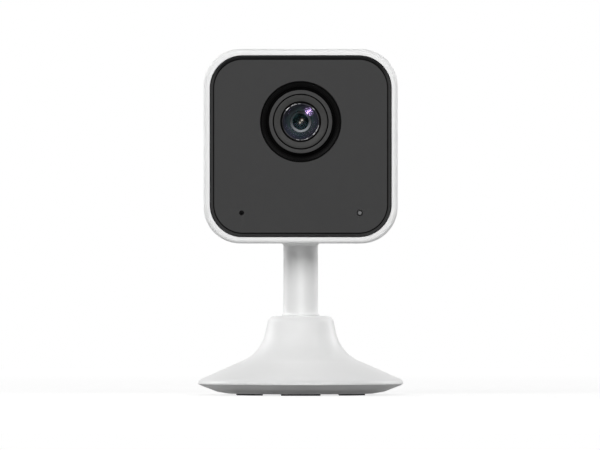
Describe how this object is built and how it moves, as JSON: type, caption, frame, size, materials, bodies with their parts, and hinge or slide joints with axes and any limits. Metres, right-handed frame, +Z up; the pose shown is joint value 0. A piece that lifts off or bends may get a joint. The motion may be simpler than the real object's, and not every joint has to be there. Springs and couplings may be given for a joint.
{
  "type": "security camera",
  "caption": "Small indoor security camera: rounded square head with a round lens in a dark plate, on a short stem that tilts and pans over a weighted round foot.",
  "frame": {"origin": "centre of the ring of foot pads, on the surface that the camera stands on", "axes": "+Z up along the stem, -Y out of the lens, +X to the right of someone who looks into the lens"},
  "size_m": [0.0612, 0.0612, 0.103],
  "materials": {
    "white_plastic": "fine satin white moulded plastic",
    "cover_plastic": "matt white moulded plastic",
    "button_plastic": "satin moulded plastic",
    "plate_plastic": "dark tinted plastic, etched face with a polished bevel",
    "lens_black": "deep black moulded plastic",
    "lens_grey": "fine-turned dark grey",
    "frame_black": "matt black moulded plastic",
    "nylon": "natural nylon",
    "rubber": "matt dark rubber",
    "pad_silicone": "soft grey-blue silicone",
    "steel": "zinc-plated steel",
    "shield_steel": "tinned sheet steel",
    "aluminium": "plain aluminium",
    "optical_glass": "coated optical glass",
    "clear_plastic": "clear moulded light pipe",
    "board_green": "solder-masked circuit board",
    "chip_black": "moulded chip package",
    "lamp_resin": "lamp resin",
    "socket_nylon": "moulded socket",
    "ribbon": "flat flexible cable",
    "copper": "wound copper on a bracket",
    "speaker_black": "speaker basket and cone"
  },
  "bodies": {
    "base": {"base_shell": "white_plastic", "pan_bush": "nylon", "base_cover": "cover_plastic", "foot_pads": "rubber", "ballast_plate": "steel", "cover_screws": "steel"},
    "stem": {"stem": "white_plastic", "retaining_washer": "steel", "pan_screw": "steel"},
    "head": {"head_shell": "white_plastic", "front_plate": "plate_plastic", "plate_adhesive": "rubber", "front_frame": "frame_black", "frame_screws": "steel", "lens_bezel": "lens_black", "lens_ring": "lens_grey", "lens_barrel": "lens_grey", "retaining_ring": "lens_grey", "front_element": "optical_glass", "middle_element": "optical_glass", "rear_element": "optical_glass", "lens_spacers": "lens_black", "aperture_stop": "lens_black", "lens_holder": "frame_black", "filter_coil": "copper", "main_board": "board_green", "board_screws": "steel", "image_sensor": "chip_black", "processor": "chip_black", "thermal_pad": "pad_silicone", "heat_spreader": "aluminium", "wifi_module": "shield_steel", "card_socket": "shield_steel", "usb_socket": "shield_steel", "reset_switch": "chip_black", "front_board": "board_green", "ir_leds": "lamp_resin", "status_led": "lamp_resin", "light_pipe": "clear_plastic", "microphone": "chip_black", "mic_gasket": "rubber", "ribbon_sockets": "socket_nylon", "board_ribbon": "ribbon", "speaker": "speaker_black", "speaker_gasket": "rubber", "tilt_pin": "steel", "tilt_nut": "steel", "friction_washers": "nylon"},
    "night_filter": {"filter_carriage": "frame_black", "filter_panes": "optical_glass"},
    "reset_button": {"reset_button": "button_plastic"}
  },
  "joints": [
    {"name": "stem_pan", "type": "hinge", "parent": "base", "child": "stem", "pos_m": [0, 0, 0.0236], "axis": [0, 0, 1], "continuous": true},
    {"name": "head_tilt", "type": "hinge", "parent": "stem", "child": "head", "pos_m": [0, 0, 0.0515], "axis": [1, 0, 0], "range_deg": [-90, 20]},
    {"name": "filter_shift", "type": "slide", "parent": "head", "child": "night_filter", "axis": [1, 0, 0], "range_m": [-0.0066, 0]},
    {"name": "reset_press", "type": "slide", "parent": "head", "child": "reset_button", "axis": [0, -1, 0], "range_m": [0, 0.0005], "stiffness_N_per_m": 300, "springref_m": -0.001}
  ]
}
